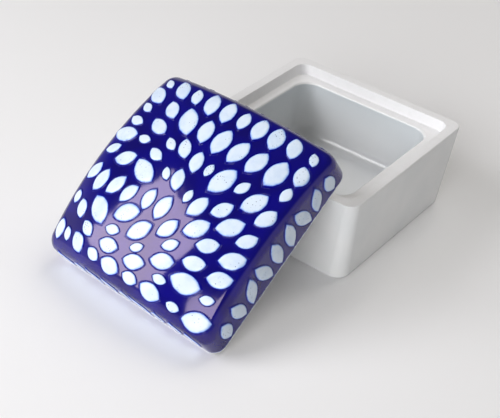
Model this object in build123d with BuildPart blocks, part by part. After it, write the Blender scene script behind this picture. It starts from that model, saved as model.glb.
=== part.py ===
"""Square porcelain seal paste box with a domed lid, the lid off and leant on the box's side wall."""
import os
from cmath import phase, rect
from itertools import combinations
from math import asin, atan2, cos, degrees, hypot, pi, radians, sin

from build123d import *

os.makedirs("parts", exist_ok=True)

# Box, in millimetres and degrees: the origin is the middle of the foot, on the table, with +Z up
box_width = 90.0
box_height = 40.5
foot_width = 84.5
corner_radius = 5.5
foot_corner_radius = 7.0
foot_edge_radius = 1.2
rim_width = 4.5
rim_edge_radius = 0.7

# Rebate inside the rim, which takes the lid's flange
rebate_depth = 4.7
rebate_draft = 1.2
rebate_corner_radius = 5.5

# Well for the paste
ledge_width = 4.8
ledge_edge_radius = 1.2
well_corner_radius = 9.0
well_draft = 1.0
well_floor_radius = 7.5
floor_thickness = 6.0

# Recessed underside, which leaves the bare foot ring
foot_ring_width = 4.2
foot_ring_height = 2.0
foot_ring_radius = 0.9

# Lid: a square cap cut by a shallow sphere, its rim the same size as the box's
lid_corner_height = 13.3
lid_crown_height = 28.4
lid_edge_radius = 4.5
lid_rim_radius = 0.5
lid_wall = 6.0
hollow_draft = 1.5
hollow_radius = 5.0
hollow_corner_radius = 7.0

# Flange under the lid, sized from the rebate
flange_clearance = 0.5
flange_width = 4.5
flange_tip_gap = 0.4
flange_tip_radius = 0.8

# Raised pale leaves: their usual size, and the swirl that they follow over the top
leaf_relief = 0.6
leaf_length = 13.2
leaf_width = 7.9
leaf_edge_margin = 1.5
leaf_bend_share = 0.2
leaf_count = 80
swirl_offset_across = -12.0
swirl_offset_along = 18.0
swirl_lean = 55.0
swirl_sway = 25.0
swirl_wavelength = 64.0

# Leaves round the lid's sides, each as tall as the side is there
side_leaf_count = 9
side_leaf_width = 6.8
side_leaf_end_margin = 5.5
side_leaf_lean = 20.0
side_leaf_foot_margin = 1.8
side_leaf_top_margin = 3.0

# How the leaves settle: rounds of pushing apart, and the spacing that they settle to, in leaf sizes
settle_rounds = 120
growth_rounds = 6
settle_spacing_share = 1.15
settle_push_share = 0.25
grown_spacing_share = 0.93
largest_leaf_share = 1.25
golden_angle = 137.508

# How the lid leans: its lower rim edge on the table, its flange on the edge of the box's rim,
# the margin being what is left of the lid up the slope from there
lean_clearance = 0.3
lean_turn = -3.1
lean_shift = 12.0
lean_rest_margin = 13.3
lean_search_steps = 2000

# One overrun for every cutter, past the face that it cuts
overrun = 1.0

# Worked out from the sizes above
rebate_top_width = box_width - 2 * rim_width
rebate_foot_width = rebate_top_width - 2 * rebate_draft
rebate_foot_radius = rebate_corner_radius - rebate_draft
ledge_height = box_height - rebate_depth
well_width = rebate_foot_width - 2 * ledge_width
well_floor = foot_ring_height + floor_thickness
flange_outer_width = rebate_foot_width - 2 * flange_clearance
flange_outer_radius = rebate_foot_radius - flange_clearance
flange_inner_width = flange_outer_width - 2 * flange_width
flange_length = rebate_depth - flange_tip_gap
half_width = box_width / 2
dome_rise = lid_crown_height - lid_corner_height
dome_radius = (2 * half_width**2 + dome_rise**2) / (2 * dome_rise)
dome_centre = lid_crown_height - dome_radius
leaf_limit = half_width - leaf_edge_margin
side_leaf_pitch = (box_width - 2 * side_leaf_end_margin) / side_leaf_count
lean_rise = box_height - rim_edge_radius - lid_rim_radius
lean_drop = flange_length + lid_rim_radius + rim_edge_radius + lean_clearance
lean_slope = box_width - lid_rim_radius - lean_rest_margin
lean_reach = (lean_slope**2 + lean_drop**2 - lean_rise**2) ** (1 / 2) - rim_edge_radius


def rounded_square(height, width, radius):
    """A level square face with rounded corners, centred over the origin."""
    with BuildSketch(Plane.XY.offset(height)) as face:
        RectangleRounded(width, width, radius)
    return face.sketch


def lid_outside(growth):
    """The lid's solid outer form, with its sides and top moved out by the growth."""
    with BuildPart() as form:
        add(rounded_square(0, box_width + 2 * growth, corner_radius + growth))
        extrude(amount=lid_crown_height + growth + overrun)
        with Locations((0, 0, dome_centre)):
            Sphere(dome_radius + growth, mode=Mode.INTERSECT)
        fillet(form.faces().sort_by(Axis.Z)[-1].edges(), radius=lid_edge_radius + growth)
    return form.part


def leaf_turn(place):
    """Which way a leaf on the top points, in radians: a swirl about a point off the crown."""
    arm = place - complex(swirl_offset_across, swirl_offset_along)
    sway = radians(swirl_sway) * sin(2 * pi * abs(arm) / swirl_wavelength)
    return phase(arm) + radians(swirl_lean) + sway


def leaf_spacing(place, other):
    """How far apart two leaves are, in leaf sizes: at 1, the ellipses round them touch."""
    step = other - place
    shares = []
    for turn in (leaf_turn(place), leaf_turn(other)):
        turned = step * rect(1, -turn)
        shares.append(hypot(turned.real / leaf_length, turned.imag / leaf_width))
    return min(shares)


def leaf_reach(place):
    """Half of the room that a leaf of the usual size takes across and along the lid."""
    turn = leaf_turn(place)
    across = hypot(leaf_length * cos(turn), leaf_width * sin(turn)) / 2
    along = hypot(leaf_length * sin(turn), leaf_width * cos(turn)) / 2
    return across, along


def dome_height(across, along):
    """Height of the lid's dome over its rim plane at one point."""
    return dome_centre + (dome_radius**2 - across**2 - along**2) ** (1 / 2)


def within(value, limit):
    """The value, kept between the limit and its negative."""
    return max(-limit, min(limit, value))


def settled_leaves():
    """Places of the leaves on the top, after they have pushed each other apart."""
    places = []
    for number in range(leaf_count):
        seed = rect(((number + 1 / 2) / leaf_count) ** (1 / 2), radians(number * golden_angle))
        places.append(seed * leaf_limit * abs(seed) / max(abs(seed.real), abs(seed.imag)))
    for _ in range(settle_rounds):
        pushes = [0] * leaf_count
        for first, second in combinations(range(leaf_count), 2):
            spacing = leaf_spacing(places[first], places[second])
            if spacing < settle_spacing_share:
                step = places[second] - places[first]
                push = step * settle_push_share * (settle_spacing_share / spacing - 1)
                pushes[first] -= push
                pushes[second] += push
        for number, push in enumerate(pushes):
            across, along = leaf_reach(places[number])
            moved = places[number] + push
            places[number] = complex(within(moved.real, leaf_limit - across), within(moved.imag, leaf_limit - along))
    return places


def grown_shares(places):
    """How large each settled leaf grows before it comes near its neighbours or the lid's edge."""
    shares = [1 / 2] * leaf_count
    for _ in range(growth_rounds):
        for number, place in enumerate(places):
            across, along = leaf_reach(place)
            room = [largest_leaf_share, (leaf_limit - abs(place.real)) / across, (leaf_limit - abs(place.imag)) / along]
            for other in range(leaf_count):
                if other != number:
                    room.append(2 * grown_spacing_share * leaf_spacing(place, places[other]) - shares[other])
            shares[number] = min(room)
    return shares


def leaf(length, width, bend):
    """A flat leaf along X, pointed at both ends, with one side fuller than the other by the bend."""
    with BuildSketch() as face:
        with BuildLine():
            ThreePointArc((-length / 2, 0), (0, width / 2 * (1 + bend)), (length / 2, 0))
            ThreePointArc((length / 2, 0), (0, -width / 2 * (1 - bend)), (-length / 2, 0))
        make_face()
    return face.sketch


def outside_square(across, along, width, radius):
    """Whether a point lies outside a centred square with rounded corners."""
    flat = width / 2 - radius
    return hypot(max(abs(across) - flat, 0), max(abs(along) - flat, 0)) > radius


def leaning_angle():
    """The least angle at which the lid's flange clears the whole rounded edge of the box's rim, in degrees."""
    rim_inset_width = box_width - 2 * rim_edge_radius
    rim_line = rounded_square(0, rim_inset_width, corner_radius - rim_edge_radius).wire()
    angles = [0]
    for step in range(lean_search_steps):
        point = rim_line.position_at(step / lean_search_steps)
        run = complex(point.X + half_width + lean_reach, point.Y - lean_shift) * rect(1, -radians(lean_turn))
        angle = atan2(lean_rise, run.real) + asin(lean_drop / hypot(lean_rise, run.real))
        up_slope = run.real * cos(angle) + lean_rise * sin(angle) - half_width + lid_rim_radius
        under_lid = not outside_square(up_slope, run.imag, flange_outer_width, flange_outer_radius)
        if under_lid and outside_square(up_slope, run.imag, flange_inner_width, hollow_corner_radius):
            angles.append(angle)
    return degrees(max(angles))


# Box: the walls lean in to the foot
with BuildPart() as box:
    add(rounded_square(0, foot_width, foot_corner_radius))
    add(rounded_square(box_height, box_width, corner_radius))
    loft(ruled=True)
    fillet(box.faces().sort_by(Axis.Z)[-1].edges(), radius=rim_edge_radius)
    fillet(box.faces().sort_by(Axis.Z)[0].edges(), radius=foot_edge_radius)
    # Rebate inside the rim
    add(rounded_square(ledge_height, rebate_foot_width, rebate_foot_radius))
    add(rounded_square(box_height, rebate_top_width, rebate_corner_radius))
    loft(ruled=True, mode=Mode.SUBTRACT)
    # Well, with a rounded edge at the ledge and a wide fillet round its floor
    add(rounded_square(well_floor, well_width - 2 * well_draft, well_corner_radius))
    add(rounded_square(ledge_height, well_width, well_corner_radius))
    loft(ruled=True, mode=Mode.SUBTRACT)
    fillet(box.faces().filter_by(Axis.Z).sort_by(Axis.Z)[1].edges(), radius=well_floor_radius)
    ledge = box.faces().filter_by(Axis.Z).sort_by(Axis.Z)[-2]
    fillet(ledge.inner_wires()[0].edges(), radius=ledge_edge_radius)
    # Recess under the foot
    add(rounded_square(0, foot_width - 2 * foot_ring_width, corner_radius))
    extrude(amount=foot_ring_height, mode=Mode.SUBTRACT)
    foot_ring = box.faces().filter_by(Axis.Z).sort_by(Axis.Z)[0]
    fillet(foot_ring.inner_wires()[0].edges(), radius=foot_ring_radius)
box.part.label = "box"
export_step(box.part, "parts/box.step")

# Hollow under the lid, with the lid upright and its rim plane on the ground
with BuildPart() as hollow:
    add(rounded_square(-flange_length, flange_inner_width, hollow_corner_radius))
    add(rounded_square(lid_crown_height, flange_inner_width - 2 * hollow_draft, hollow_corner_radius))
    loft(ruled=True)
    with Locations((0, 0, dome_centre)):
        Sphere(dome_radius - lid_wall, mode=Mode.INTERSECT)
    fillet(hollow.faces().sort_by(Axis.Z)[-1].edges(), radius=hollow_radius)

with BuildPart() as upright_lid:
    add(lid_outside(0))
    fillet(upright_lid.faces().sort_by(Axis.Z)[0].edges(), radius=lid_rim_radius)
    # Flange that drops into the rebate
    add(rounded_square(0, flange_outer_width, flange_outer_radius))
    extrude(amount=-flange_length)
    add(hollow.part, mode=Mode.SUBTRACT)
    fillet(upright_lid.faces().sort_by(Axis.Z)[0].edges(), radius=flange_tip_radius)

# Shell over the lid that the leaves are cut from
with BuildPart() as glaze_shell:
    add(lid_outside(leaf_relief))
    add(lid_outside(0), mode=Mode.SUBTRACT)

# Prisms in the leaves' outlines, through the top and the four sides
leaf_places = settled_leaves()
with BuildPart() as leaf_prisms:
    with BuildSketch(Plane.XY.offset(lid_corner_height - lid_edge_radius)):
        for number, share in enumerate(grown_shares(leaf_places)):
            place = leaf_places[number]
            bend = leaf_bend_share * sin(radians(number * golden_angle))
            with Locations(Location((place.real, place.imag), degrees(leaf_turn(place)))):
                add(leaf(leaf_length * share, leaf_width * share, bend))
    extrude(amount=lid_crown_height, clean=False)
    for quarter in range(4):
        side = Plane.XZ.rotated((0, 0, quarter * 90)).offset(half_width - lid_edge_radius)
        with BuildSketch(side):
            for number in range(side_leaf_count):
                across = (number - (side_leaf_count - 1) / 2) * side_leaf_pitch
                tilt = side_leaf_lean * sin(radians((number + quarter * side_leaf_count) * golden_angle))
                top = dome_height(half_width, across) - side_leaf_top_margin
                length = (top - side_leaf_foot_margin) / cos(radians(tilt))
                with Locations(Location((across, (top + side_leaf_foot_margin) / 2), 90 + tilt)):
                    add(leaf(length, side_leaf_width, leaf_bend_share * sin(radians(tilt))))
        extrude(amount=lid_edge_radius + leaf_relief + overrun, clean=False)

# Where the lid leans: first turned on the table, then tipped about its rounded lower edge
lean_angle = leaning_angle()
lean = (
    Location((-half_width - lean_reach, lean_shift, lid_rim_radius), (0, 0, lean_turn))
    * Location((0, 0, 0), (0, -lean_angle, 0))
    * Location((half_width - lid_rim_radius, 0, -lid_rim_radius))
)

# Lid, leant on the box
with BuildPart() as lid:
    with Locations(lean):
        add(upright_lid.part)
lid.part.label = "lid"
export_step(lid.part, "parts/lid.step")

# Leaves, cut from the shell by the prisms and leant with the lid
with BuildPart() as lid_leaves:
    with Locations(lean):
        add(glaze_shell.part)
        add(leaf_prisms.part, mode=Mode.INTERSECT, clean=False)
lid_leaves.part.label = "lid_leaves"
export_step(lid_leaves.part, "parts/lid_leaves.step")
print(f"lean {lean_angle:.2f} degrees, {len(lid_leaves.part.solids())} leaves")
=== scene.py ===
"""Studio scene of a square porcelain seal paste box, its domed blue lid leant on the box's side wall."""
import logging
import math
from collections.abc import Callable, Iterable
from dataclasses import dataclass, replace
from enum import Enum

import bmesh
import bpy
import numpy as np
from mathutils import Matrix, Vector


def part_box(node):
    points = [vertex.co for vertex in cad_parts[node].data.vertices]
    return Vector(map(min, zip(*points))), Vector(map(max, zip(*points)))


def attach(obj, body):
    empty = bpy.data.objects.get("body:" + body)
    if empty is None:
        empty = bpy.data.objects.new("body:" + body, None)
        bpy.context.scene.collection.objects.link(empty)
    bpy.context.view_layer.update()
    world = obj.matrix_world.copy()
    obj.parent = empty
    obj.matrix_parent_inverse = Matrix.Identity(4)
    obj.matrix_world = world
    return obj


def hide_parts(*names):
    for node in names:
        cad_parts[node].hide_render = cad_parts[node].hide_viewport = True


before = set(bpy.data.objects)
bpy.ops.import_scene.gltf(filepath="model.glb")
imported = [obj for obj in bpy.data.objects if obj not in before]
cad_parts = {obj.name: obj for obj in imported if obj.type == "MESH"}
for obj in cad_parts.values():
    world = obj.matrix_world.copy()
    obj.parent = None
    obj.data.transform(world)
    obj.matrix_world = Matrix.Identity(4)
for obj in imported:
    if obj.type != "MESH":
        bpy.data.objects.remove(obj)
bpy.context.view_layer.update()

MM = 0.001
NEAR = 0.02 * MM  # How near a ring its own points lie.
WIPED = 0.1  # How far into a rounded edge the wiped skin reaches, as a share of the edge's radius.
Colour = tuple[float, float, float]
Span = tuple[float, float]
Socket = bpy.types.NodeSocket
log = logging.getLogger("seal_paste_box")


class Side(Enum):
    """The faces of the lid that carry leaves, named by the way that they face in the upright lid."""

    TOP = (0, 0, 1)
    UP_SLOPE = (1, 0, 0)
    DOWN_SLOPE = (-1, 0, 0)
    LEFT = (0, 1, 0)
    RIGHT = (0, -1, 0)

    @property
    def out(self) -> Vector:
        """The way that the face looks."""
        return Vector(self.value)


@dataclass(frozen=True)
class Ring:
    """One level rounded square of a form: bridged to the next, they make its walls.

    The edge radius rounds the form where the ring is, and no radius leaves it sharp.
    """

    width: float
    height: float
    corner: float
    edge: float = 0.0
    edge_steps: int = 6


# Mesh tools


def select_none() -> None:
    """Leaves nothing selected, and no piece open."""
    if bpy.context.object and bpy.context.object.mode == "EDIT":
        bpy.ops.object.mode_set(mode="OBJECT")
    bpy.ops.object.select_all(action="DESELECT")


def take(piece: bpy.types.Object) -> None:
    """Makes one piece the only one selected, and the active one.

    Args:
        piece: the piece to take.
    """
    select_none()
    piece.select_set(True)
    bpy.context.view_layer.objects.active = piece


def edit(piece: bpy.types.Object) -> bmesh.types.BMesh:
    """Opens one piece in edit mode.

    Args:
        piece: the mesh object to open.

    Returns:
        The piece's edit mesh, with nothing selected.
    """
    take(piece)
    bpy.ops.object.mode_set(mode="EDIT")
    bpy.ops.mesh.select_all(action="DESELECT")
    return bmesh.from_edit_mesh(piece.data)


def pick(piece: bpy.types.Object, kind: str, test: Callable[[object], bool]) -> int:
    """Selects by place the vertices, edges or faces of the piece that is open in edit mode.

    Args:
        piece: the piece that is open.
        kind: VERT, EDGE or FACE.
        test: says of one element whether it is wanted.

    Returns:
        How many were selected.
    """
    bpy.ops.mesh.select_mode(type=kind)
    bpy.ops.mesh.select_all(action="DESELECT")
    mesh = bmesh.from_edit_mesh(piece.data)
    wanted = [e for e in {"VERT": mesh.verts, "EDGE": mesh.edges, "FACE": mesh.faces}[kind] if test(e)]
    for element in wanted:
        element.select_set(True)
    bmesh.update_edit_mesh(piece.data)
    return len(wanted)


def apply_modifier(piece: bpy.types.Object, kind: str, **settings: object) -> None:
    """Adds one modifier to a piece, sets it and applies it.

    Args:
        piece: the piece.
        kind: the modifier's type.
        settings: the modifier's settings, by name.
    """
    take(piece)
    bpy.ops.object.modifier_add(type=kind)
    modifier = piece.modifiers[-1]
    for name, value in settings.items():
        setattr(modifier, name, value)
    bpy.ops.object.modifier_apply(modifier=modifier.name)


def square_reach(point: Vector, width: float, corner: float) -> float:
    """How far a point lies outside a centred rounded square, as seen from above.

    Args:
        point: the point.
        width: the square's width.
        corner: the radius of its corners.

    Returns:
        The distance, negative inside.
    """
    flat = width / 2 - corner
    over_x, over_y = abs(point.x) - flat, abs(point.y) - flat
    outside = math.hypot(max(over_x, 0), max(over_y, 0))
    return outside + min(max(over_x, over_y), 0) - corner


def on_ring(ring: Ring) -> Callable[[bmesh.types.BMEdge], bool]:
    """Makes a test, for pick, of whether an edge runs along a ring.

    Args:
        ring: the ring.

    Returns:
        The test.
    """

    def test(edge: bmesh.types.BMEdge) -> bool:
        """Whether both ends of an edge lie on the ring."""
        return all(
            abs(v.co.z - ring.height) < NEAR and abs(square_reach(v.co, ring.width, ring.corner)) < NEAR
            for v in edge.verts
        )

    return test


def ringed_form(name: str, rings: list[Ring], corner_steps: int = 10) -> bpy.types.Object:
    """Builds a closed form from level rounded squares, as a potter's section turned into a square.

    Each ring is a plane whose corners are bevelled. The faces of all but the first and last rings
    are deleted. The loops are bridged in order while they are stacked well apart, because loops in
    one plane would be bridged with a twist, and then each loop goes to its own height.

    Args:
        name: the piece's name.
        rings: the rings, in order along the section.
        corner_steps: how many faces turn each corner.

    Returns:
        The piece, open in edit mode, with its faces pointing outwards.
    """
    select_none()
    parts = []
    apart = 20 * MM
    stack = [replace(ring, height=number * apart) for number, ring in enumerate(rings)]
    for ring in stack:
        bpy.ops.mesh.primitive_plane_add(size=ring.width, location=(0, 0, ring.height))
        plane = bpy.context.object
        bpy.ops.object.transform_apply(location=True, rotation=False, scale=False)
        bpy.ops.object.mode_set(mode="EDIT")
        bpy.ops.mesh.select_all(action="SELECT")
        bpy.ops.mesh.bevel(offset=ring.corner, segments=corner_steps, affect="VERTICES")
        if ring is not stack[0] and ring is not stack[-1]:
            bpy.ops.mesh.delete(type="ONLY_FACE")
        bpy.ops.object.mode_set(mode="OBJECT")
        parts.append(plane)
    for part in parts:
        part.select_set(True)
    bpy.context.view_layer.objects.active = parts[0]
    bpy.ops.object.join()
    piece = bpy.context.object
    piece.name = piece.data.name = name
    edit(piece)
    for lower, upper in zip(stack, stack[1:]):
        on_lower, on_upper = on_ring(lower), on_ring(upper)
        pick(piece, "EDGE", lambda edge: on_lower(edge) or on_upper(edge))
        bpy.ops.mesh.bridge_edge_loops()
    mesh = bmesh.from_edit_mesh(piece.data)
    for vertex in mesh.verts:
        vertex.co.z = rings[round(vertex.co.z / apart)].height
    mesh.normal_update()
    bmesh.update_edit_mesh(piece.data)
    bpy.ops.mesh.select_all(action="SELECT")
    bpy.ops.mesh.normals_make_consistent(inside=False)
    return piece


def round_ring(piece: bpy.types.Object, ring: Ring) -> None:
    """Rounds the edge of the open piece that runs along one ring."""
    if ring.edge and pick(piece, "EDGE", on_ring(ring)):
        bpy.ops.mesh.bevel(offset=ring.edge, segments=ring.edge_steps, affect="EDGES")


def write_attribute(piece: bpy.types.Object, name: str, values: Iterable[float]) -> None:
    """Writes one number for each vertex of a piece as a named attribute, for its material to read."""
    layer = piece.data.attributes.new(name, "FLOAT", "POINT")
    layer.data.foreach_set("value", list(values))


def smooth(piece: bpy.types.Object, angle: float = 40.0) -> None:
    """Shades a piece smooth, with its large flat faces kept flat.

    Args:
        piece: the piece.
        angle: the turn between two faces, in degrees, past which their edge stays sharp.
    """
    take(piece)
    bpy.ops.object.shade_smooth_by_angle(angle=math.radians(angle))
    apply_modifier(piece, "WEIGHTED_NORMAL", keep_sharp=True)


# Materials


@dataclass(frozen=True)
class Nodes:
    """A small hand for wiring one material or world: adds nodes and links them by name."""

    owner: bpy.types.ID

    def __post_init__(self) -> None:
        """Gives the owner its first nodes."""
        self.owner.use_nodes = True

    @classmethod
    def of_material(cls, name: str) -> "Nodes":
        """Makes a new material to wire."""
        return cls(bpy.data.materials.new(name))

    @property
    def tree(self) -> bpy.types.NodeTree:
        """The owner's nodes and links."""
        return self.owner.node_tree

    @property
    def shader(self) -> bpy.types.Node:
        """The material's shader."""
        return self.tree.nodes["Principled BSDF"]

    def add(self, kind: str, **settings: object) -> bpy.types.Node:
        """Adds a node.

        Args:
            kind: the node's type, without its ShaderNode prefix.
            settings: its settings, and the values of its inputs, by name.

        Returns:
            The node.
        """
        node = self.tree.nodes.new("ShaderNode" + kind)
        for key, value in settings.items():
            if hasattr(node, key):
                setattr(node, key, value)
            else:
                node.inputs[key].default_value = value
        return node

    def link(self, source: Socket, target: Socket) -> None:
        """Links one socket to another."""
        self.tree.links.new(source, target)

    def place(self) -> Socket:
        """The place on the piece that patterns follow."""
        return self.add("TexCoord").outputs["Object"]

    def attribute(self, name: str) -> Socket:
        """A number that the piece's mesh carries."""
        return self.add("Attribute", attribute_name=name).outputs["Fac"]

    def noise(self, scale: float, detail: float = 2.0, roughness: float = 0.5) -> Socket:
        """Adds cloudy noise over the piece.

        Args:
            scale: how fine it is.
            detail: how many finer layers it has.
            roughness: how strong these are.

        Returns:
            The noise, from 0 to 1.
        """
        node = self.add("TexNoise", Scale=scale, Detail=detail, Roughness=roughness)
        self.link(self.place(), node.inputs["Vector"])
        return node.outputs["Fac"]

    def spread(
        self, value: Socket, span: Span, to: Span = (0.0, 1.0), curve: str = "SMOOTHSTEP"
    ) -> Socket:
        """Takes a value from one span to another, and holds it there past the ends.

        Args:
            value: the value.
            span: the span that it comes from.
            to: the span that it goes to.
            curve: SMOOTHSTEP, or LINEAR for a straight slope.

        Returns:
            The new value.
        """
        node = self.add("MapRange", interpolation_type=curve)
        for key, number in zip(("From Min", "From Max", "To Min", "To Max"), (*span, *to)):
            node.inputs[key].default_value = number
        self.link(value, node.inputs["Value"])
        return node.outputs["Result"]

    def waver(self, scale: float, by: float) -> Socket:
        """An unevenness from -by to by, which breaks up the line where a finish ends."""
        return self.spread(self.noise(scale, 3), (0.3, 0.7), (-by, by))

    def combine(self, first: Socket, second: Socket, operation: str = "ADD") -> Socket:
        """Works two values into one.

        Args:
            first: the first value.
            second: the second value.
            operation: what is done with them.

        Returns:
            The one value.
        """
        node = self.add("Math", operation=operation)
        self.link(first, node.inputs[0])
        self.link(second, node.inputs[1])
        return node.outputs[0]

    def blend(self, share: Socket, low: Colour | Socket, high: Colour | Socket) -> Socket:
        """Blends two colours, each of them fixed or worked out.

        Args:
            share: the share of the second colour.
            low: the colour at share 0.
            high: the colour at share 1.

        Returns:
            The blended colour.
        """
        node = self.add("Mix", data_type="RGBA")
        self.link(share, node.inputs["Factor"])
        for key, tint in (("A", low), ("B", high)):
            if isinstance(tint, tuple):
                node.inputs[key].default_value = (*tint, 1)
            else:
                self.link(tint, node.inputs[key])
        return node.outputs["Result"]

    def bump(self, *layers: tuple[Socket, float, float]) -> None:
        """Stacks bumps on the shader.

        Args:
            layers: for each bump its height, its strength and its depth in metres.
        """
        normal = None
        for height, strength, depth in layers:
            node = self.add("Bump", Strength=strength, Distance=depth)
            self.link(height, node.inputs["Height"])
            if normal:
                self.link(normal, node.inputs["Normal"])
            normal = node.outputs["Normal"]
        self.link(normal, self.shader.inputs["Normal"])

    def gloss(self, roughness: float, ior: float, specular: float = 0.5) -> None:
        """Sets the steady sockets of the shader."""
        for key, number in (("Roughness", roughness), ("IOR", ior), ("Specular IOR Level", specular)):
            self.shader.inputs[key].default_value = number

    def show(self, output: str, share: Socket, first: Socket, second: Socket) -> None:
        """Mixes two shaders and shows the mix.

        Args:
            output: the name of the output node.
            share: the share of the second shader.
            first: the shader at share 0.
            second: the shader at share 1.
        """
        mix = self.add("MixShader")
        for number, source in enumerate((share, first, second)):
            self.link(source, mix.inputs[number])
        self.link(mix.outputs["Shader"], self.tree.nodes[output].inputs["Surface"])


@dataclass(frozen=True)
class BodyGlaze:
    """Clear glaze over white porcelain, wiped off to the bare body where two pieces meet.

    The mesh carries bare, from 0 on glaze to 1 on the wiped body, and well, which rises to 1 up the
    walls of the well, where painted shade darkens and cools the glaze.
    """

    name: str = "white_glaze"
    clear: Colour = (0.79, 0.795, 0.80)
    pooled: Colour = (0.75, 0.765, 0.775)
    # Painted shade: a darker, cooler glaze colour laid up the walls of the well.
    painted_well_shade: Colour = (0.60, 0.64, 0.665)
    body: Colour = (0.81, 0.81, 0.82)
    stained: Colour = (0.76, 0.76, 0.765)
    roughness: float = 0.09
    bare_roughness: float = 0.62
    ior: float = 1.5
    wipe_scale: float = 600
    wipe_waver: float = 0.18
    wipe_line: Span = (0.42, 0.58)
    pool_scale: float = 45
    pool_span: Span = (0.35, 0.7)
    stain_scale: float = 260
    stain_span: Span = (0.45, 0.8)
    wave_scale: float = 38
    wave_depth: float = 0.8 * MM
    grain_scale: float = 2600
    grain_depth: float = 0.08 * MM

    def wired(self) -> tuple[Nodes, Socket, Socket]:
        """Wires the colour and gloss that every white surface shares.

        Returns:
            The nodes, where the surface is bare, and its colour.
        """
        nodes = Nodes.of_material(self.name)
        nodes.gloss(self.roughness, self.ior)
        wiped = nodes.combine(nodes.attribute("bare"), nodes.waver(self.wipe_scale, self.wipe_waver))
        bare = nodes.spread(wiped, self.wipe_line)
        pools = nodes.spread(nodes.noise(self.pool_scale, 3), self.pool_span)
        # Painted shade: the well attribute darkens the glaze up the well's walls.
        glaze = nodes.blend(nodes.attribute("well"), nodes.blend(pools, self.clear, self.pooled), self.painted_well_shade)
        stains = nodes.spread(nodes.noise(self.stain_scale, 6, 0.7), self.stain_span)
        colour = nodes.blend(bare, glaze, nodes.blend(stains, self.body, self.stained))
        nodes.link(colour, nodes.shader.inputs["Base Color"])
        roughness = nodes.spread(bare, (0, 1), (self.roughness, self.bare_roughness))
        nodes.link(roughness, nodes.shader.inputs["Roughness"])
        return nodes, bare, colour

    def material(self) -> bpy.types.Material:
        """Makes the finish: waves in the glaze, and a fine grain where it is wiped off.

        Returns:
            The finish as a material.
        """
        nodes, bare, _ = self.wired()
        grain = nodes.combine(nodes.noise(self.grain_scale, 3, 0.6), bare, "MULTIPLY")
        waves = nodes.noise(self.wave_scale, 2)
        nodes.bump((waves, 0.25, self.wave_depth), (grain, 0.35, self.grain_depth))
        return nodes.owner


@dataclass(frozen=True)
class CobaltGlaze(BodyGlaze):
    """Deep blue glaze on the lid's outside, over the white that its underside keeps.

    The mesh carries bare, as the white glaze's does, and blue, from 0 on white to 1 on blue.
    """

    name: str = "cobalt_glaze"
    blue: Colour = (0.0010, 0.0004, 0.175)
    deep: Colour = (0.0012, 0.0003, 0.11)
    thin: Colour = (0.30, 0.42, 0.72)
    sheen: Colour = (1.0, 0.82, 0.95)
    ior: float = 1.6
    edge_scale: float = 420
    edge_waver: float = 0.2
    edge_start: Span = (0.2, 0.4)
    edge_thin: Span = (0.35, 0.75)
    depth_scale: float = 70
    wave_scale: float = 90
    wave_depth: float = 0.6 * MM
    ripple_scale: float = 260
    ripple_depth: float = 0.12 * MM

    def material(self) -> bpy.types.Material:
        """Makes the finish: white, then a thin pale blue line, then deep blue that varies in depth.

        Returns:
            The finish as a material.
        """
        nodes, _, white = self.wired()
        nodes.shader.inputs["Specular Tint"].default_value = (*self.sheen, 1)
        edge = nodes.combine(nodes.attribute("blue"), nodes.waver(self.edge_scale, self.edge_waver))
        depth = nodes.spread(nodes.noise(self.depth_scale, 4), self.pool_span)
        blue = nodes.blend(depth, self.blue, self.deep)
        thinned = nodes.blend(nodes.spread(edge, self.edge_thin), self.thin, blue)
        colour = nodes.blend(nodes.spread(edge, self.edge_start), white, thinned)
        nodes.link(colour, nodes.shader.inputs["Base Color"])
        waves, ripples = nodes.noise(self.wave_scale, 1), nodes.noise(self.ripple_scale, 1)
        nodes.bump((waves, 0.3, self.wave_depth), (ripples, 0.1, self.ripple_depth))
        return nodes.owner


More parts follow.
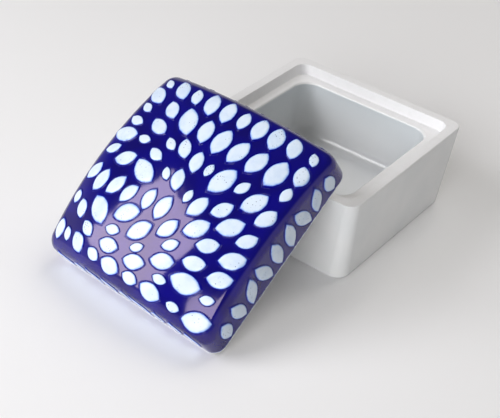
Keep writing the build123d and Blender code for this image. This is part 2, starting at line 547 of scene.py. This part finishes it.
@dataclass(frozen=True)
class LeafGlaze:
    """Pale raised glaze, blue where it thins to nothing at a leaf's edge.

    The mesh carries swell, from 0 at the foot of a leaf's edge to 1 at its full thickness.
    """

    name: str = "pale_glaze"
    foot: Colour = (0.0012, 0.0006, 0.18)
    edge: Colour = (0.03, 0.08, 0.62)
    shoulder: Colour = (0.36, 0.52, 0.84)
    full: Colour = (0.66, 0.75, 0.87)
    cloudy: Colour = (0.56, 0.67, 0.83)
    speck: Colour = (0.18, 0.23, 0.34)
    edge_span: Span = (0.35, 0.48)
    shoulder_span: Span = (0.38, 0.72)
    full_span: Span = (0.58, 0.93)
    gloss_span: Span = (0.4, 0.7)
    edge_scale: float = 380
    edge_waver: float = 0.07
    foot_roughness: float = 0.05
    roughness: float = 0.12
    ior: float = 1.45
    specular: float = 0.35
    cloud_scale: float = 160
    cloud_span: Span = (0.4, 0.75)
    speck_scale: float = 900
    speck_span: Span = (0.12, 0.26)
    patch_scale: float = 130
    patch_span: Span = (0.52, 0.64)
    wave_scale: float = 150
    wave_depth: float = 0.4 * MM
    grain_scale: float = 900
    grain_depth: float = 0.06 * MM

    def specks(self, nodes: Nodes) -> Socket:
        """Strews small dark pinholes in patches.

        Args:
            nodes: the finish being wired.

        Returns:
            How dark the specks are, from 0 to 1.
        """
        cells = nodes.add("TexVoronoi", Scale=self.speck_scale)
        nodes.link(nodes.place(), cells.inputs["Vector"])
        dots = nodes.spread(cells.outputs["Distance"], self.speck_span, (1, 0))
        patches = nodes.spread(nodes.noise(self.patch_scale, 2), self.patch_span)
        return nodes.combine(dots, patches, "MULTIPLY")

    def material(self) -> bpy.types.Material:
        """Makes the finish: from deep blue at a leaf's foot over its shoulder to its cloudy pale top.

        Returns:
            The finish as a material.
        """
        nodes = Nodes.of_material(self.name)
        nodes.gloss(self.roughness, self.ior, self.specular)
        swell = nodes.combine(nodes.attribute("swell"), nodes.waver(self.edge_scale, self.edge_waver))
        clouds = nodes.spread(nodes.noise(self.cloud_scale, 4, 0.6), self.cloud_span)
        top = nodes.blend(self.specks(nodes), nodes.blend(clouds, self.full, self.cloudy), self.speck)
        colour = nodes.blend(nodes.spread(swell, self.edge_span), self.foot, self.edge)
        colour = nodes.blend(nodes.spread(swell, self.shoulder_span), colour, self.shoulder)
        colour = nodes.blend(nodes.spread(swell, self.full_span), colour, top)
        nodes.link(colour, nodes.shader.inputs["Base Color"])
        roughness = nodes.spread(swell, self.gloss_span, (self.foot_roughness, self.roughness))
        nodes.link(roughness, nodes.shader.inputs["Roughness"])
        waves, grain = nodes.noise(self.wave_scale, 1), nodes.noise(self.grain_scale, 3)
        nodes.bump((waves, 0.3, self.wave_depth), (grain, 0.1, self.grain_depth))
        return nodes.owner


# Pieces


@dataclass
class PasteBox:
    """The square white box: leaning walls, a rebate for the lid, a rounded well and a bare foot ring."""

    foot_width: float = 84.5 * MM
    rim_corner: float = 4.9 * MM
    rebate_corner: float = 5.2 * MM
    foot_corner: float = 6.5 * MM
    recess_corner: float = 5.5 * MM
    rim_width: float = 4.5 * MM
    rim_edge: float = 0.5 * MM
    foot_edge: float = 1.2 * MM
    rebate_depth: float = 4.7 * MM
    rebate_draft: float = 1.2 * MM
    rebate_edge: float = 0.175 * MM
    rebate_foot_edge: float = 0.4 * MM
    ledge_width: float = 4.8 * MM
    ledge_edge: float = 1.2 * MM
    well_corner: float = 7.6 * MM
    well_draft: float = 1.0 * MM
    well_floor: float = 8.0 * MM
    well_floor_edge: float = 5.9 * MM
    recess: float = 2.0 * MM
    foot_ring_width: float = 4.2 * MM
    foot_ring_edge: float = 0.9 * MM
    glaze: BodyGlaze = BodyGlaze()

    def rings(self) -> list[Ring]:
        """Lays out the box's section.

        Returns:
            Its rings, from the recess under its foot round to the floor of its well.
        """
        low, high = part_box("box")
        height = high.z - low.z
        width = high.x - low.x
        rebate_top = width - 2 * self.rim_width
        rebate_foot = rebate_top - 2 * self.rebate_draft
        ledge = height - self.rebate_depth
        well = rebate_foot - 2 * self.ledge_width
        recess_width = self.foot_width - 2 * self.foot_ring_width
        return [
            Ring(recess_width, self.recess, self.recess_corner),
            Ring(recess_width, 0, self.recess_corner, self.foot_ring_edge),
            Ring(self.foot_width, 0, self.foot_corner, self.foot_edge),
            Ring(width, height, self.rim_corner, self.rim_edge),
            Ring(rebate_top, height, self.rebate_corner, self.rebate_edge, 3),
            Ring(rebate_foot, ledge, self.rebate_corner - self.rebate_draft, self.rebate_foot_edge, 4),
            Ring(well, ledge, self.well_corner, self.ledge_edge),
            Ring(well - 2 * self.well_draft, self.well_floor, self.well_corner, self.well_floor_edge, 12),
        ]

    def build(self) -> bpy.types.Object:
        """Makes the box and dresses it.

        Returns:
            The piece.
        """
        rings = self.rings()
        piece = ringed_form("porcelain_box", rings)
        for ring in rings:
            round_ring(piece, ring)
        select_none()
        smooth(piece)
        rim, rebate, mouth = rings[3], rings[4], rings[6]
        rim_middle = (rim.width + rebate.width) / 2
        well_foot = self.well_floor + self.well_floor_edge / 2
        well_wall = mouth.height - self.ledge_edge - well_foot

        def bareness(point: Vector) -> float:
            """1 where the rim, the rebate and the foot ring are wiped bare."""
            rim_top = point.z > rim.height - WIPED * self.rim_edge
            inside = square_reach(point, rim_middle, self.rebate_corner) <= 0
            in_rebate = inside and point.z > mouth.height - WIPED * self.ledge_edge
            foot = point.z < WIPED * self.foot_edge
            return float(rim_top or in_rebate or foot)

        # Painted shade: this mask darkens the glaze up the well's walls, where shade falls.
        def depth(point: Vector) -> float:
            """How much painted shade darkens the well's walls: from 0 where they leave its floor to 1 at the
            ledge.
            """
            outside = square_reach(point, mouth.width, self.well_corner) > 0.1 * MM
            if outside or point.z < self.well_floor / 2:
                return 0.0
            return min(max((point.z - well_foot) / well_wall, 0.0), 1.0)

        write_attribute(piece, "bare", [bareness(v.co) for v in piece.data.vertices])
        # The well attribute carries the painted shade mask to the glaze.
        write_attribute(piece, "well", [depth(v.co) for v in piece.data.vertices])
        piece.data.materials.clear()
        piece.data.materials.append(self.glaze.material())
        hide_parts("box")
        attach(piece, "box")
        return piece


@dataclass(frozen=True)
class Lean:
    """Where the lid leans, read from the CAD lid: takes the upright lid to its place."""

    matrix: Matrix

    @classmethod
    def read(cls, node: bpy.types.Object, crown: float) -> "Lean":
        """Finds how a lid leans.

        The lid is thinnest along the way that its crown faces, and its lower edge lies level on
        the table, which fixes its other two ways.

        Args:
            node: the CAD lid.
            crown: the height of the lid's crown over its rim plane.

        Returns:
            The lean.
        """
        mesh = node.data
        points = np.empty(len(mesh.vertices) * 3)
        mesh.vertices.foreach_get("co", points)
        mesh.calc_loop_triangles()
        corners = np.empty(len(mesh.loop_triangles) * 3, dtype=np.int32)
        mesh.loop_triangles.foreach_get("vertices", corners)
        triangles = points.reshape(-1, 3)[corners.reshape(-1, 3)]
        first, second = triangles[:, 1] - triangles[:, 0], triangles[:, 2] - triangles[:, 0]
        areas = np.linalg.norm(np.cross(first, second), axis=1) / 2
        middle = (triangles.mean(1) * areas[:, None]).sum(0) / areas.sum()
        arms = triangles - middle
        sums = arms.sum(1)
        spread = np.einsum("t,tki,tkj->ij", areas, arms, arms) + np.einsum("t,ti,tj->ij", areas, sums, sums)
        crown_way = Vector(np.linalg.eigh(spread)[1][:, 0])
        crown_way *= math.copysign(1, crown_way.z)
        across = crown_way.cross(Vector((0, 0, 1))).normalized()
        ways = np.array([across.cross(crown_way), across, crown_way])
        local = points.reshape(-1, 3) @ ways.T
        low, high = local.min(0), local.max(0)
        start = np.array([(low[0] + high[0]) / 2, (low[1] + high[1]) / 2, high[2] - crown]) @ ways
        turn = Matrix(ways.T.tolist()).to_4x4()
        return cls(Matrix.Translation(Vector(start)) @ turn)


@dataclass
class Lid:
    """The domed lid: a square cap cut by a shallow sphere, with a flange and a hollow underneath.

    It is made upright, with its rim plane at height zero, and leant at the end.
    """

    lean: Lean
    width: float = 90.0 * MM
    corner: float = 5.5 * MM
    corner_height: float = 13.3 * MM
    crown: float = 28.4 * MM
    top_edge: float = 4.5 * MM
    rim_edge: float = 0.5 * MM
    white_line: float = 1.3 * MM
    wall: float = 6.0 * MM
    flange_width: float = 77.6 * MM
    flange_corner: float = 3.8 * MM
    flange_length: float = 4.3 * MM
    flange_wall: float = 4.5 * MM
    flange_edge: float = 0.8 * MM
    hollow_corner: float = 7.0 * MM
    hollow_draft: float = 1.2 * MM
    hollow_edge: float = 5.0 * MM
    cut_step: float = 2.0 * MM
    hollow_cut_step: float = 4.0 * MM
    cast_rounds: int = 5
    glaze: CobaltGlaze = CobaltGlaze()

    @property
    def dome_radius(self) -> float:
        """Radius of the sphere that cuts the lid's top."""
        rise = self.crown - self.corner_height
        return (self.width**2 / 2 + rise**2) / (2 * rise)

    def rings(self) -> list[Ring]:
        """Lays out the lid's section.

        Returns:
            Its rings, from its top down round its flange to the roof of its hollow.
        """
        hollow = self.flange_width - 2 * self.flange_wall
        roof = hollow - 2 * self.hollow_draft
        roof_height = self.corner_height - self.wall / 2
        return [
            Ring(self.width, self.corner_height, self.corner, self.top_edge, 8),
            Ring(self.width, self.white_line, self.corner),
            Ring(self.width, 0, self.corner, self.rim_edge, 4),
            Ring(self.flange_width, 0, self.flange_corner),
            Ring(self.flange_width, -self.flange_length, self.flange_corner, self.flange_edge, 4),
            Ring(hollow, -self.flange_length, self.hollow_corner, self.flange_edge, 4),
            Ring(roof, roof_height, self.hollow_corner, self.hollow_edge, 8),
        ]

    def dome(self, piece: bpy.types.Object, ring: Ring, radius: float, step: float) -> None:
        """Domes the flat face that fills one ring, about the centre of the lid's sphere.

        The face is bisected both ways into a net, and its points are cast up to the sphere.

        Args:
            piece: the lid.
            ring: the ring that the face fills.
            radius: the sphere's radius.
            step: how far apart the cuts are.
        """

        def on_face(face: bmesh.types.BMFace) -> bool:
            """Whether a face belongs to the flat face."""
            inside = square_reach(face.calc_center_median(), ring.width, ring.corner) < 0
            return inside and all(abs(v.co.z - ring.height) < NEAR for v in face.verts)

        edit(piece)
        keep_off = self.top_edge / 3
        count = int((ring.width / 2 - ring.corner - keep_off) / step)
        for way in ((1, 0, 0), (0, 1, 0)):
            for number in range(-count, count + 1):
                pick(piece, "FACE", on_face)
                bpy.ops.mesh.bisect(plane_co=Vector(way) * number * step, plane_no=way)
        pick(piece, "FACE", on_face)
        bpy.ops.object.vertex_group_assign_new()
        select_none()
        group = piece.vertex_groups[-1].name
        centre = bpy.data.objects.new("dome_centre", None)
        centre.location.z = self.crown - self.dome_radius
        bpy.context.scene.collection.objects.link(centre)
        bpy.context.view_layer.update()
        for _ in range(self.cast_rounds):
            apply_modifier(
                piece, "CAST", cast_type="SPHERE", factor=1, object=centre, size=radius, radius=0,
                use_radius_as_size=False, use_x=False, use_y=False, vertex_group=group,
            )
        bpy.data.objects.remove(centre)

    def round_dome(self, piece: bpy.types.Object, ring: Ring) -> None:
        """Rounds the edge between a domed face and the walls under it.

        Args:
            piece: the lid.
            ring: the ring that the face filled before it was domed.
        """

        def on_edge(edge: bmesh.types.BMEdge) -> bool:
            """Whether an edge runs round the domed face."""
            low = ring.height - 0.05 * MM
            return all(
                v.co.z > low and abs(square_reach(v.co, ring.width, ring.corner)) < NEAR for v in edge.verts
            )

        edit(piece)
        pick(piece, "EDGE", on_edge)
        bpy.ops.mesh.bevel(offset=ring.edge, segments=ring.edge_steps, affect="EDGES")
        select_none()

    def build_upright(self) -> bpy.types.Object:
        """Makes the lid, upright, and dresses it.

        Returns:
            The piece.
        """
        rings = self.rings()
        piece = ringed_form("porcelain_lid", rings)
        for ring in rings[1:-1]:
            round_ring(piece, ring)
        select_none()
        inner_radius = self.dome_radius - self.wall
        for ring, radius, step in (
            (rings[0], self.dome_radius, self.cut_step),
            (rings[-1], inner_radius, self.hollow_cut_step),
        ):
            self.dome(piece, ring, radius, step)
            self.round_dome(piece, ring)
        smooth(piece)
        rim_middle = (self.width + self.flange_width) / 2
        centre = Vector((0, 0, self.crown - self.dome_radius))

        def blueness(point: Vector) -> float:
            """1 on the lid's outside, over the white line round its rim."""
            over_hollow = (point - centre).length > self.dome_radius - self.wall / 2
            outside = over_hollow or square_reach(point, rim_middle, self.corner) > 0
            return float(outside and point.z > self.white_line - WIPED * self.rim_edge)

        def bareness(point: Vector) -> float:
            """1 on the rim plane and the flange, which are wiped bare."""
            over_flange = point.z > -self.flange_length + self.flange_edge / 2
            hollow = square_reach(point, rings[5].width, self.hollow_corner) < -0.01 * MM
            return float(point.z < WIPED * self.rim_edge and not (hollow and over_flange))

        write_attribute(piece, "blue", [blueness(v.co) for v in piece.data.vertices])
        write_attribute(piece, "bare", [bareness(v.co) for v in piece.data.vertices])
        piece.data.materials.clear()
        piece.data.materials.append(self.glaze.material())
        return piece

    def set_down(self, piece: bpy.types.Object, node: str) -> None:
        """Leans an upright piece of the lid and lets it stand for its CAD node.

        Args:
            piece: the piece.
            node: the CAD node's name.
        """
        piece.data.transform(self.lean.matrix)
        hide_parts(node)
        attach(piece, "lid")


@dataclass(frozen=True)
class Leaf:
    """One pointed leaf, flat: its tips, and how far it swells to each side of the line between them."""

    side: Side
    start: Vector
    end: Vector
    left: float
    right: float

    def shape(self, flat: Vector) -> Vector:
        """Takes a point of a round pad of radius 1 to its place in the leaf.

        Args:
            flat: the point in the round pad.

        Returns:
            The place: each side of the leaf is an arc from tip to tip, and pads inside it shrink alike.
        """
        tiny = 1e-9
        reach = max(flat.length, tiny)
        half = (self.end - self.start) / 2
        swell = self.left if flat.y > 0 else self.right
        radius = (half.length_squared + swell**2) / (2 * swell)
        along = half.length * flat.x / reach
        across = (math.sqrt(radius**2 - along**2) - radius + swell) * math.copysign(1, flat.y)
        forward = half.normalized()
        square = Vector((-forward.y, forward.x))
        return (self.start + self.end) / 2 + (forward * along + square * across) * reach


@dataclass
class LeafRelief:
    """The raised leaves: each is a round pad, shaped to its leaf, laid on the lid and swollen."""

    lid: Lid
    relief: float = 0.5 * MM
    sunk: float = 0.03 * MM
    skin: float = 0.35 * MM
    clear: float = 8.0 * MM
    weld: float = 0.001 * MM
    arc_steps: int = 40
    skirt: float = 1.09
    inset_shares: tuple[float, ...] = (0.04, 0.05, 0.035, 0.05, 0.07, 0.10, 0.14)
    swell_shares: tuple[float, ...] = (0.34, 0.03, 0.24, 0.47, 0.70, 0.87, 0.96)
    sharp_angle: float = 70.0
    glaze: LeafGlaze = LeafGlaze()

    def axes(self, side: Side) -> tuple[Vector, Vector]:
        """The two ways across a side of the lid, as seen from outside."""
        across = Vector((1, 0, 0)) if side is Side.TOP else Vector((0, 0, 1)).cross(side.out)
        return across, side.out.cross(across)

    def read(self, node: bpy.types.Object) -> list[Leaf]:
        """Reads every leaf's outline from the loose parts of the CAD leaves.

        Args:
            node: the CAD leaves.

        Returns:
            The leaves, in the upright lid's ways.
        """
        mesh = bmesh.new()
        mesh.from_mesh(node.data)
        mesh.transform(self.lid.lean.matrix.inverted())
        bmesh.ops.remove_doubles(mesh, verts=mesh.verts, dist=self.weld)
        leaves = []
        left = set(mesh.verts)
        while left:
            island, edge = set(), [left.pop()]
            while edge:
                vertex = edge.pop()
                island.add(vertex)
                near = {e.other_vert(vertex) for e in vertex.link_edges} & left
                left -= near
                edge.extend(near)
            leaves.append(self.leaf_round([v.co.copy() for v in island]))
        mesh.free()
        return sorted(leaves, key=lambda leaf: (leaf.side.name, round(leaf.start.x, 5), round(leaf.start.y, 5)))

    def leaf_round(self, points: list[Vector]) -> Leaf:
        """Finds the leaf that a CAD solid stands for.

        Args:
            points: the solid's points.

        Returns:
            The leaf.
        """
        middle = sum(points, Vector()) / len(points)
        reach = self.lid.width / 2
        sides = [s for s in Side if s is not Side.TOP and middle.dot(s.out) > reach]
        side = sides[0] if sides else Side.TOP
        across, up = self.axes(side)
        flat = np.array([(p.dot(across), p.dot(up)) for p in points])
        gaps = np.linalg.norm(flat[:, None] - flat[None], axis=2)
        first, last = np.unravel_index(gaps.argmax(), gaps.shape)
        way = (flat[last] - flat[first]) / gaps.max()
        off = (flat - flat[first]) @ np.array([-way[1], way[0]])
        return Leaf(side, Vector(flat[first]), Vector(flat[last]), float(off.max()), float(-off.min()))

    def round_pad(self) -> bpy.types.Object:
        """Makes the one round pad that every leaf is shaped from: a disc inset in steps to its crown.

        The first steps make the ridge and the groove round it. How far each point swells is kept in
        the vertex group called pad.

        Returns:
            The pad, of radius 1 without its skirt.
        """
        select_none()
        bpy.ops.mesh.primitive_circle_add(vertices=self.arc_steps, radius=self.skirt, fill_type="NGON")
        pad = bpy.context.object
        pad.vertex_groups.new(name="pad")
        edit(pad)
        bpy.ops.mesh.select_all(action="SELECT")
        settings = bpy.context.scene.tool_settings
        for thickness, share in zip(self.inset_shares, self.swell_shares):
            bpy.ops.mesh.inset(thickness=thickness)
            settings.vertex_group_weight = share
            bpy.ops.object.vertex_group_assign()
        bpy.ops.mesh.poke()
        middle = 0.01
        pick(pad, "VERT", lambda v: v.co.length < middle)
        settings.vertex_group_weight = 1
        bpy.ops.object.vertex_group_assign()
        select_none()
        return pad

    def pads(self, side: Side, leaves: list[Leaf], pad: bpy.types.Object) -> bpy.types.Object:
        """Makes the leaves of one side, flat and clear of the lid: copies of the round pad, each shaped.

        Args:
            side: the side of the lid.
            leaves: its leaves.
            pad: the round pad.

        Returns:
            The leaves as one piece.
        """
        across, up = self.axes(side)
        off = side.out * (self.clear + (self.lid.crown if side is Side.TOP else self.lid.width / 2))
        select_none()
        for leaf in leaves:
            copy = bpy.data.objects.new("leaf", pad.data.copy())
            bpy.context.scene.collection.objects.link(copy)
            for vertex in copy.data.vertices:
                place = leaf.shape(vertex.co)
                vertex.co = off + across * place.x + up * place.y
            copy.select_set(True)
        bpy.context.view_layer.objects.active = copy
        bpy.ops.object.join()
        piece = bpy.context.object
        piece.name = piece.data.name = f"leaves_{side.name.lower()}"
        select_none()
        return piece

    def lay(self, piece: bpy.types.Object, side: Side, lid_piece: bpy.types.Object) -> None:
        """Lays flat leaves on the lid's surface, swells them and gives them a back.

        Args:
            piece: the flat leaves of one side.
            side: the side.
            lid_piece: the upright lid.
        """
        forward = sum(side.value) > 0
        along_x, along_y, along_z = (part != 0 for part in side.value)
        apply_modifier(
            piece, "SHRINKWRAP", target=lid_piece, wrap_method="PROJECT", offset=-self.sunk,
            use_project_x=along_x, use_project_y=along_y, use_project_z=along_z,
            use_negative_direction=forward, use_positive_direction=not forward,
        )
        apply_modifier(
            piece, "DISPLACE", direction="NORMAL", mid_level=0, strength=self.relief, vertex_group="pad"
        )
        apply_modifier(piece, "SOLIDIFY", thickness=self.skin, offset=-1)

    def build(self, node: bpy.types.Object, lid_piece: bpy.types.Object) -> bpy.types.Object:
        """Makes all the leaves as one piece, upright, and dresses them.

        Args:
            node: the CAD leaves, which they follow.
            lid_piece: the upright lid that they lie on.

        Returns:
            The piece.
        """
        leaves = self.read(node)
        pad = self.round_pad()
        made = []
        for side in Side:
            here = [leaf for leaf in leaves if leaf.side is side]
            piece = self.pads(side, here, pad)
            self.lay(piece, side, lid_piece)
            log.info("%s: %d leaves", piece.name, len(here))
            made.append(piece)
        bpy.data.objects.remove(pad)
        select_none()
        for piece in made:
            piece.select_set(True)
        bpy.context.view_layer.objects.active = made[0]
        bpy.ops.object.join()
        relief = bpy.context.object
        relief.name = relief.data.name = "leaf_relief"
        smooth(relief, self.sharp_angle)
        group = relief.vertex_groups["pad"].index
        swells = [
            next((g.weight for g in v.groups if g.group == group), 0.0) for v in relief.data.vertices
        ]
        write_attribute(relief, "swell", swells)
        relief.data.materials.clear()
        relief.data.materials.append(self.glaze.material())
        return relief


# Studio


@dataclass(frozen=True)
class Lamp:
    """One soft lamp: the way to it, its distance, size, power and colour.

    The turn is in degrees from +X towards +Y, and the rise in degrees above the table. A lamp that
    isn't mirrored gives light alone, and no reflection on the glaze.
    """

    name: str
    turn: float
    rise: float
    distance: float
    size: Span
    power: float
    colour: Colour
    mirrored: bool = True


@dataclass
class Studio:
    """Pale floor and backdrop, soft lamps, and the camera where the photograph was taken."""

    azimuth: float = -55.72
    elevation: float = 35.62
    roll: float = 5.27
    distance: float = 547.0 * MM
    shift: Span = (29.8 * MM, 4.0 * MM)
    focal_pixels: float = 1190.0
    image_pixels: float = 500.0
    clip: Span = (0.01, 50)
    lamps: tuple[Lamp, ...] = (
        Lamp("key", 140, 34, 1.0, (0.55, 0.6), 6.7, (0.99, 0.98, 1.0)),
        Lamp("front", 193, 20, 1.3, (0.8, 0.7), 9.6, (1.0, 1.0, 1.0)),
        Lamp("top", -8, 60, 1.3, (0.9, 0.9), 6.6, (1.0, 0.965, 0.915), mirrored=False),
    )
    sky: Colour = (1.0, 0.985, 0.95)
    sky_strength: float = 0.11
    backdrop: float = 0.82
    horizon: Span = (0.2, 0.4)
    floor: Colour = (0.86, 0.86, 0.87)
    floor_size: float = 6.0
    floor_fade: Span = (0.3, 0.6)

    def camera(self) -> bpy.types.Object:
        """Places the camera.

        Returns:
            The camera.
        """
        turn, rise, roll = map(math.radians, (self.azimuth, self.elevation, self.roll))
        back = Vector((math.sin(turn) * math.cos(rise), -math.cos(turn) * math.cos(rise), math.sin(rise)))
        level = Vector((0, 0, 1)).cross(back).normalized()
        steep = back.cross(level)
        right = level * math.cos(roll) + steep * math.sin(roll)
        up = steep * math.cos(roll) - level * math.sin(roll)
        data = bpy.data.cameras.new("camera")
        data.lens = self.focal_pixels / self.image_pixels * data.sensor_width
        data.clip_start, data.clip_end = self.clip
        camera = bpy.data.objects.new("camera", data)
        place = back * self.distance - right * self.shift[0] - up * self.shift[1]
        camera.matrix_world = Matrix.Translation(place) @ Matrix((right, up, back)).transposed().to_4x4()
        bpy.context.scene.collection.objects.link(camera)
        bpy.context.scene.camera = camera
        return camera

    def hang(self, lamp: Lamp) -> None:
        """Hangs one soft lamp, facing the object.

        Args:
            lamp: the lamp.
        """
        data = bpy.data.lights.new(lamp.name, "AREA")
        data.shape = "RECTANGLE"
        data.size, data.size_y = lamp.size
        data.energy = lamp.power
        data.color = lamp.colour
        light = bpy.data.objects.new(lamp.name, data)
        light.visible_glossy = lamp.mirrored
        turn, rise = math.radians(lamp.turn), math.radians(lamp.rise)
        way = Vector((math.cos(turn) * math.cos(rise), math.sin(turn) * math.cos(rise), math.sin(rise)))
        light.location = way * lamp.distance
        light.rotation_mode = "QUATERNION"
        light.rotation_quaternion = way.to_track_quat("Z", "Y")
        bpy.context.scene.collection.objects.link(light)

    def table(self) -> None:
        """Lays the pale floor, which fades out into the backdrop far from the object."""
        select_none()
        bpy.ops.mesh.primitive_plane_add(size=self.floor_size)
        floor = bpy.context.object
        floor.name = floor.data.name = "floor"
        nodes = Nodes.of_material("floor")
        nodes.gloss(0.6, 1.4, 0.2)
        nodes.shader.inputs["Base Color"].default_value = (*self.floor, 1)
        distance = nodes.add("VectorMath", operation="LENGTH")
        nodes.link(nodes.place(), distance.inputs[0])
        far = nodes.spread(distance.outputs["Value"], self.floor_fade)
        clear = nodes.add("BsdfTransparent")
        nodes.show("Material Output", far, nodes.shader.outputs["BSDF"], clear.outputs["BSDF"])
        floor.data.materials.append(nodes.owner)

    def world(self) -> None:
        """Makes the world: a dim sky, whose low part looks pale to the camera and in reflections."""
        nodes = Nodes(bpy.data.worlds.new("world"))
        sky = nodes.tree.nodes["Background"]
        sky.inputs["Color"].default_value = (*self.sky, 1)
        sky.inputs["Strength"].default_value = self.sky_strength
        pale = nodes.add("Background", Strength=self.backdrop)
        path = nodes.add("LightPath")
        seen = path.outputs["Is Camera Ray"]
        for ray in ("Is Glossy Ray", "Is Transmission Ray"):
            seen = nodes.combine(seen, path.outputs[ray], "MAXIMUM")
        way = nodes.add("SeparateXYZ")
        nodes.link(nodes.add("TexCoord").outputs["Generated"], way.inputs["Vector"])
        low = nodes.spread(way.outputs["Z"], self.horizon, (1, 0), "LINEAR")
        share = nodes.combine(seen, low, "MULTIPLY")
        nodes.show("World Output", share, sky.outputs["Background"], pale.outputs["Background"])
        bpy.context.scene.world = nodes.owner

    def build(self) -> None:
        """Sets up the whole studio."""
        self.table()
        for lamp in self.lamps:
            self.hang(lamp)
        self.world()
        self.camera()
        bpy.context.scene.view_settings.view_transform = "Standard"


def main() -> None:
    """Builds the pieces in order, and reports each."""
    logging.basicConfig(level=logging.INFO, format="%(name)s: %(message)s")
    select_none()
    box = PasteBox().build()
    lean = Lean.read(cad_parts["lid"], Lid.crown)
    lid_maker = Lid(lean)
    lid = lid_maker.build_upright()
    leaves = LeafRelief(lid_maker).build(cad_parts["lid_leaves"], lid)
    lid_maker.set_down(lid, "lid")
    lid_maker.set_down(leaves, "lid_leaves")
    for piece in (box, lid, leaves):
        log.info("%s: %d faces", piece.name, len(piece.data.polygons))
    Studio().build()


if __name__ == "__main__":
    main()
